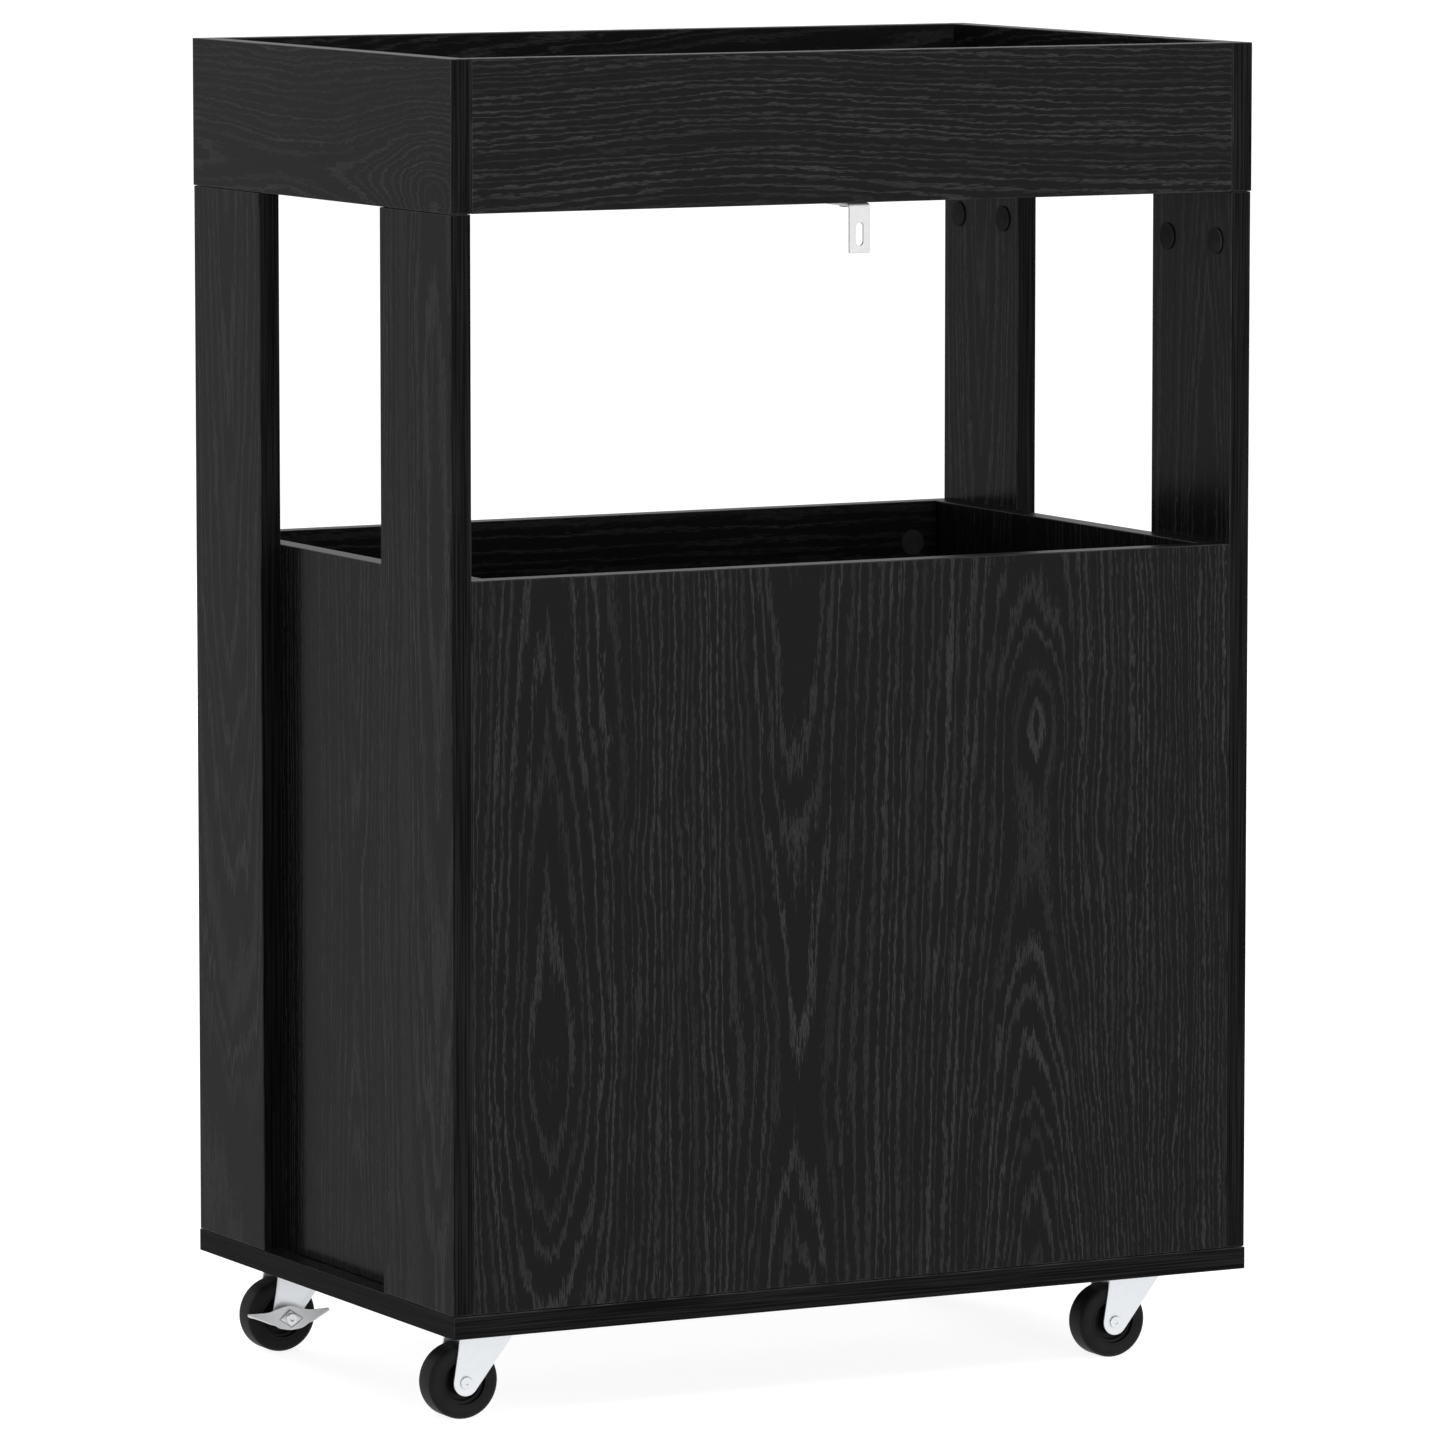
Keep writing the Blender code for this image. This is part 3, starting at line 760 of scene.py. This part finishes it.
def fork_mesh(trail, wheel_radius, half_wheel, top):
    """The stamped fork: a round head folded down on each side into a leg."""
    bend = fork_bend_radius
    leg_middle = half_wheel + leg_side_gap + leg_thickness / 2
    flat_reach = leg_middle - bend
    straight_start = flat_reach + bend * math.pi / 2
    level = top - head_thickness / 2
    drop = level - bend - wheel_radius
    axle = (trail, straight_start + drop)
    root_back = (-leg_root_back, straight_start)
    root_front = (leg_root_front, straight_start)
    start = tangent_angle(axle, leg_end_radius, root_back, -1) % (2 * math.pi)
    stop = tangent_angle(axle, leg_end_radius, root_front, 1)
    leg = [root_back] + arc(axle, leg_end_radius, start, stop, leg_end_steps) + [root_front]
    other = [(x, -y) for x, y in reversed(leg)]
    nose_x = trail + fork_nose_past_axle
    nose_y = flat_reach * fork_nose_share
    side = math.asin(min(1, flat_reach / head_radius)) * brow_angle_share
    brow = arc((0, 0), head_radius * brow_radius_share, math.pi + side, math.pi - side)
    outline = leg + [(nose_x, nose_y), (nose_x, -nose_y)] + other + brow
    holes = [circle(axle, fork_axle_hole_radius),
             circle((axle[0], -axle[1]), fork_axle_hole_radius),
             circle((0, 0), fork_pin_hole_radius)]
    shape = fold(sheet("fork", [outline, *holes], leg_thickness), flat_reach, bend)
    bmesh.ops.translate(shape, verts=shape.verts, vec=(0, 0, level))
    return from_bmesh("fork", shape)


def plate_mesh(length, width, thickness):
    """The top plate, with its four screw holes, centred on its own middle."""
    x = length / 2 - plate_corner_radius
    y = width / 2 - plate_corner_radius
    outline = []
    for i, centre in enumerate(((x, y), (-x, y), (-x, -y), (x, -y))):
        outline += arc(centre, plate_corner_radius, i * math.pi / 2, (i + 1) * math.pi / 2,
                       plate_corner_steps)
    holes = [circle(place, plate_hole_radius) for place in plate_hole_places(length, width)]
    holes.append(circle((0, 0), plate_pin_hole_radius))
    return from_bmesh("plate", sheet("plate", [outline, *holes], thickness))


def plate_hole_places(length, width):
    """Centres of the plate's screw holes."""
    x = length / 2 - plate_hole_from_edge
    y = width / 2 - plate_hole_from_edge
    return [(sx * x, sy * y) for sx in (-1, 1) for sy in (-1, 1)]


def screw_mesh(name, radius, height, shank_radius, shank_length):
    """A pan-head screw with a cross recess, seated on its plane with the head pointing up."""
    crown = [(radius * screw_crown_share * i / screw_crown_steps, height)
             for i in range(screw_crown_steps + 1)]
    flank = [crown.pop(), (radius * screw_shoulder_share, height * screw_shoulder_height_share),
             (radius, 0), (shank_radius, 0), (shank_radius, -shank_length), (0, -shank_length)]
    mesh = turned(name, crown + soften(flank, screw_rounding))
    for vertex in mesh.vertices:
        short, long = sorted((abs(vertex.co.x), abs(vertex.co.y)))
        in_width = short < radius * cross_half_width_share
        in_length = long < radius * cross_half_length_share
        if in_width and in_length and vertex.co.z > height * cross_least_height_share:
            vertex.co.z -= height * cross_depth_share
    return mesh


def pedal_place(along, across):
    """A point of the pedal's middle surface, from -1 to 1 along its wings and 0 to 1 down it."""
    outward = abs(along)
    x = along * pedal_half_length
    lobe = smooth_step(max(0, 1 - (x / pedal_lobe_half_length) ** 2))
    taper = 1 - outward ** pedal_taper_power
    depth = pedal_tip_depth + (pedal_wing_depth - pedal_tip_depth) * taper + pedal_lobe_depth * lobe
    tilt = pedal_middle_tilt + (pedal_tip_tilt - pedal_middle_tilt) * outward
    near = min(1, abs(x) / pedal_rise_half_length)
    top = pedal_tip_above_axle + pedal_middle_rise * (1 + math.cos(math.pi * near)) / 2
    middle_top = pedal_tip_above_axle + pedal_middle_rise
    y = pedal_sheet_y - middle_top * math.tan(pedal_middle_tilt) + across * depth * math.sin(tilt)
    z = top - across * depth * math.cos(tilt)
    from_middle = abs(x) / pedal_relief_half_length + abs(z) / pedal_relief_half_height
    slope = min(1, max(0, from_middle - pedal_relief_flat_share) * pedal_relief_steepness)
    relief = 1 - smooth_step(slope)
    return Vector((x, y + max(0, pedal_relief_y - y) * relief, z))


def pedal_mesh():
    """The brake pedal: a dished sheet with two wings and a raised diamond, and its boss."""
    shape = bmesh.new()
    bmesh.ops.create_grid(shape, x_segments=pedal_grid[0], y_segments=pedal_grid[1], size=1)
    for vertex in shape.verts:
        vertex.co = pedal_place(vertex.co.x, (1 - vertex.co.y) / 2)
    inside = [v for v in shape.verts if math.hypot(v.co.x, v.co.z) < pedal_bore_radius]
    bmesh.ops.delete(shape, geom=inside, context='VERTS')
    for vertex in shape.verts:
        radius = math.hypot(vertex.co.x, vertex.co.z)
        if vertex.is_boundary and radius < pedal_bore_snap_share * pedal_bore_radius:
            vertex.co.x *= pedal_bore_radius / radius
            vertex.co.z *= pedal_bore_radius / radius
    shape.normal_update()
    for vertex, normal in [(v, v.normal.copy()) for v in shape.verts]:
        vertex.co += normal * pedal_thickness / 2
    bmesh.ops.solidify(shape, geom=list(shape.verts) + list(shape.edges) + list(shape.faces),
                       thickness=pedal_thickness)
    rims = [edge for edge in shape.edges
            if len(edge.link_faces) == 2 and edge.calc_face_angle() > pedal_rim_angle]
    bmesh.ops.bevel(shape, geom=rims, offset=sheet_edge_radius, segments=sheet_edge_steps,
                    profile=0.5, affect='EDGES')
    inner, outer = pedal_boss[0][1], pedal_boss[-1][1]
    boss = [(pedal_bore_radius, inner), *pedal_boss, (pedal_bore_radius, outer)]
    sleeve = turned("boss", soften(boss, pedal_boss_rounding, closed=True), closed=True,
                    steps=boss_steps)
    sleeve.transform(Matrix.Rotation(-math.pi / 2, 4, 'X'))
    shape.from_mesh(sleeve)
    return from_bmesh("pedal", shape)


def cap_mesh():
    """A cam cap with a rounded rim, its seat at height zero."""
    profile = [(0, cap_rim_height), (cap_rim_radius, cap_rim_height), (cap_rim_radius, 0),
               (cap_body_radius, 0), (cap_body_radius, -cap_body_length), (0, -cap_body_length)]
    return turned("cam_cap", soften(profile, cap_rounding), steps=small_steps)


def build_casters(zinc, pedal_zinc_painted_white, steel, plastic, rubber):
    """Each caster's pieces, made once and placed at its swivel or axle."""
    first = "front_left"
    tyre_low, tyre_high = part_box(f"caster_tyre_{first}")
    wheel_radius = (tyre_high.z - tyre_low.z) / 2
    half_wheel = (tyre_high.y - tyre_low.y) / 2
    trail = middle(f"caster_tyre_{first}").x - middle(f"caster_kingpin_{first}").x
    rim_radius = extent(f"caster_hub_{first}", Z) / 2
    hub = hub_mesh(rim_radius, extent(f"caster_hub_{first}", Y) / 2)
    tyre = tyre_mesh(wheel_radius, 2 * half_wheel, rim_radius + tyre_bore_gap)
    race_low, race_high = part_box(f"caster_race_{first}")
    race = race_mesh(race_low.z, race_high.z, (race_high.x - race_low.x) / 2)
    pin_low, pin_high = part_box(f"caster_kingpin_{first}")
    kingpin = kingpin_mesh(pin_low.z, pin_high.z)
    fork = fork_mesh(trail, wheel_radius, half_wheel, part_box(f"caster_fork_{first}")[1].z)
    plate_size = [extent(f"caster_plate_{first}", axis) for axis in (X, Y, Z)]
    plate = plate_mesh(*plate_size)
    screw = screw_mesh("plate_screw", plate_screw_radius, plate_screw_height,
                       plate_screw_shank_radius, plate_screw_shank_length)
    pedal = pedal_mesh()
    rivets = {}
    for end in ("front", "back"):
        low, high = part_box(f"caster_axle_{end}_left")
        centre = middle(f"caster_tyre_{end}_left").y
        rivets[end] = rivet_mesh(low.y - centre + rivet_seat_from_end,
                                 high.y - centre - rivet_seat_from_end)

    for end in ("front", "back"):
        for side in ("left", "right"):
            where = f"{end}_{side}"
            swivel = middle(f"caster_kingpin_{where}")
            swivel.z = 0
            axle = middle(f"caster_tyre_{where}")
            show(f"fork_{where}", fork, zinc, f"caster_{where}",
                 f"caster_fork_{where}", swivel)
            show(f"race_{where}", race, steel, f"caster_{where}",
                 f"caster_race_{where}", swivel)
            show(f"kingpin_{where}", kingpin, steel, "carcass",
                 f"caster_kingpin_{where}", swivel)
            show(f"plate_{where}", plate, zinc, "carcass",
                 f"caster_plate_{where}", middle(f"caster_plate_{where}"))
            show(f"rivet_{where}", rivets[end], steel, f"caster_{where}",
                 f"caster_axle_{where}", axle, across_cart)
            show(f"hub_{where}", hub, plastic, f"wheel_{where}",
                 f"caster_hub_{where}", axle, across_cart)
            show(f"tyre_{where}", tyre, rubber, f"wheel_{where}",
                 f"caster_tyre_{where}", axle, across_cart)
            if end == "front":
                show(f"pedal_{where}", pedal, pedal_zinc_painted_white, f"brake_{where}",
                     f"brake_pedal_{where}", axle)
            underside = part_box(f"caster_plate_{where}")[0].z
            for number, (x, y) in enumerate(plate_hole_places(*plate_size[:2]), 1):
                show(f"plate_screw_{where}_{number}", screw, zinc, "carcass",
                     place=(swivel.x + x, swivel.y + y, underside), turn=head_down)


def build_caps(plastic):
    """The cam caps on the posts' and the front rail's inner faces."""
    cap = cap_mesh()
    for node in sorted(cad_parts):
        if node.startswith("cam_cap"):
            low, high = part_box(node)
            seat = middle(node)
            if "rail" in node:
                outward = Vector((0, 1, 0))
                seat.y = high.y - cap_rim_height
            else:
                outward = Vector((-math.copysign(1, low.x), 0, 0))
                seat.x = high.x - cap_rim_height if outward.x > 0 else low.x + cap_rim_height
            show(node.replace("cam_cap", "cap"), cap, plastic, "carcass",
                 node, seat, outward.to_track_quat('Z', 'Y').to_euler())


def build_bracket(zinc):
    """The wall bracket, a slotted strip folded at its middle, and the screw that holds it."""
    low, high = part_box("wall_bracket")
    half_width = (high.x - low.x) / 2
    half_run = (high.z - low.z - bracket_bend_radius) / 2
    bend = bracket_bend_radius - bracket_thickness / 2
    hanging = half_run + bend * math.pi / 2
    end = hanging + 2 * half_run
    blank = [(half_width, -half_run), (half_width, end),
             (-half_width, end), (-half_width, -half_run)]
    slot_middle = slot_from_corner + slot_length / 2
    origin_y = high.y - bracket_bend_radius - half_run
    holes = [slot_outline((0, middle_y), slot_length, slot_width)
             for middle_y in (high.y - slot_middle - origin_y,
                              hanging + slot_middle - bracket_bend_radius)]
    blank = soften(blank, bracket_corner_radius, closed=True)
    strip = fold(sheet("bracket", [blank, *holes], bracket_thickness), half_run, bend, ways=(1,))
    place = (0, origin_y, high.z - bracket_thickness / 2)
    show("bracket", from_bmesh("bracket", strip), zinc, "carcass",
         "wall_bracket", place)

    low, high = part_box("bracket_screw")
    seat = middle("bracket_screw")
    seat.z = low.z + bracket_screw_room
    screw = screw_mesh("bracket_screw_head", (high.x - low.x) / 2, bracket_screw_height,
                       bracket_screw_shank_radius, high.z - seat.z)
    show("bracket_fixing", screw, zinc, "carcass", "bracket_screw", seat, head_down)


def build_studio():
    """A pale floor that is clear from below, a white surround and soft lamps at a plain level."""
    shape = bmesh.new()
    bmesh.ops.create_circle(shape, cap_ends=True, segments=floor_segments, radius=floor_radius)
    floor = bpy.data.objects.new("floor", from_bmesh("floor", shape))
    bpy.context.scene.collection.objects.link(floor)
    floor.data.materials.append(pale_floor())

    world = bpy.data.worlds.new("studio")
    bpy.context.scene.world = world
    world.use_nodes = True
    surround = world.node_tree.nodes["Background"]
    surround.inputs["Color"].default_value = (1, 1, 1, 1)
    feed(surround.inputs["Strength"], shown_to(world.node_tree, 1, 1, surround_level))
    for name, settings in lamps.items():
        add_lamp(name, *settings)


def pale_floor():
    """Grey with a glow to the camera, white in reflections, and clear from below."""
    material, tree, shader = new_material("pale_floor")
    tree.nodes.remove(shader)
    diffuse = tree.nodes.new("ShaderNodeBsdfDiffuse")
    diffuse.inputs["Color"].default_value = (floor_grey, floor_grey, floor_grey, 1)
    glow = tree.nodes.new("ShaderNodeEmission")
    feed(glow.inputs["Strength"], shown_to(tree, floor_glow, 0))
    lit = tree.nodes.new("ShaderNodeAddShader")
    tree.links.new(diffuse.outputs[0], lit.inputs[0])
    tree.links.new(glow.outputs[0], lit.inputs[1])
    white = tree.nodes.new("ShaderNodeEmission")
    both = mixed(tree, shown_to(tree, 0, 1).socket, lit, white)
    backfacing = tree.nodes.new("ShaderNodeNewGeometry").outputs["Backfacing"]
    one_way = mixed(tree, backfacing, both, tree.nodes.new("ShaderNodeBsdfTransparent"))
    tree.links.new(one_way.outputs[0], tree.nodes["Material Output"].inputs["Surface"])
    return material


def mixed(tree, factor, first, second):
    """A node that mixes the shaders of two nodes."""
    mix = tree.nodes.new("ShaderNodeMixShader")
    for slot, socket in zip(mix.inputs, (factor, first.outputs[0], second.outputs[0])):
        tree.links.new(socket, slot)
    return mix


def shown_to(tree, camera_level, mirror_level, rest=0):
    """A strength for rays from the camera, for reflected and transmitted ones, and for the rest."""
    rays = tree.nodes.new("ShaderNodeLightPath")
    camera, glossy, passing = (Wire(tree, rays.outputs[f"Is {kind} Ray"])
                               for kind in ("Camera", "Glossy", "Transmission"))
    reflected = glossy.math('MAXIMUM', passing)
    return camera * (camera_level - rest) + reflected * (mirror_level - rest) + rest


def add_lamp(name, place, width, height, watts):
    """A soft box aimed at the cart's middle. Shiny faces mirror only the pale surround."""
    lamp = bpy.data.lights.new(name, 'AREA')
    lamp.shape = 'RECTANGLE'
    lamp.size = width
    lamp.size_y = height
    lamp.energy = watts
    thing = bpy.data.objects.new(name, lamp)
    thing.visible_glossy = False
    thing.location = place
    aim = Vector(camera_target) - Vector(place)
    thing.rotation_euler = aim.to_track_quat('-Z', 'Y').to_euler()
    bpy.context.scene.collection.objects.link(thing)


def build_camera():
    """The photograph's view, from a long way off with a long lens."""
    level = math.cos(camera_elevation)
    away = Vector((math.sin(camera_from_back) * level, math.cos(camera_from_back) * level,
                   math.sin(camera_elevation)))
    data = bpy.data.cameras.new("photo_view")
    data.lens = camera_lens_mm
    data.clip_end = camera_clip_end
    camera = bpy.data.objects.new("photo_view", data)
    camera.location = Vector(camera_target) + away * camera_distance
    camera.rotation_euler = (-away).to_track_quat('-Z', 'Y').to_euler()
    bpy.context.scene.collection.objects.link(camera)
    bpy.context.scene.camera = camera


build_camera()
build_studio()

for number, name in enumerate(sorted(arches)):
    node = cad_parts[name]
    node.material_slots[0].material = oak_laminate(name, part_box(name), seed_step * number)

plastic = moulded_plastic("black_plastic", color=(0.010, 0.010, 0.0105),
                          roughness=0.34, specular=0.02)
cap_plastic = moulded_plastic("cap_plastic", color=(0.024, 0.024, 0.025),
                              roughness=0.7, specular=0.006)
rubber = moulded_plastic("black_rubber", color=(0.0074, 0.0074, 0.0076),
                         roughness=0.5, specular=0.08)
zinc = plated_steel("white_zinc", color=(0.80, 0.82, 0.845),
                    roughness=0.36, spangle=0.03, metallic=0.8)
# Painted light: a copy of the zinc, near-white and hardly metallic, to offset the shade under the
# board
pedal_zinc_painted_white = plated_steel("pedal_zinc_painted_white", color=(0.95, 0.96, 0.97),
                          roughness=0.42, spangle=0.03, metallic=0.02, crease_shaded=True)
# Painted shade: a darker copy of the zinc, to offset the stronger light where the bracket hangs
bracket_zinc_painted_darker = plated_steel("bracket_zinc_painted_darker", color=(0.72, 0.72, 0.72),
                            roughness=0.40, spangle=0.03, metallic=0.8)
steel = plated_steel("bright_steel", color=(0.80, 0.82, 0.85),
                     roughness=0.32, spangle=0.05, metallic=0.8)

build_casters(zinc, pedal_zinc_painted_white, steel, plastic, rubber)
build_caps(cap_plastic)
build_bracket(bracket_zinc_painted_darker)

bpy.context.scene.view_settings.view_transform = 'Standard'
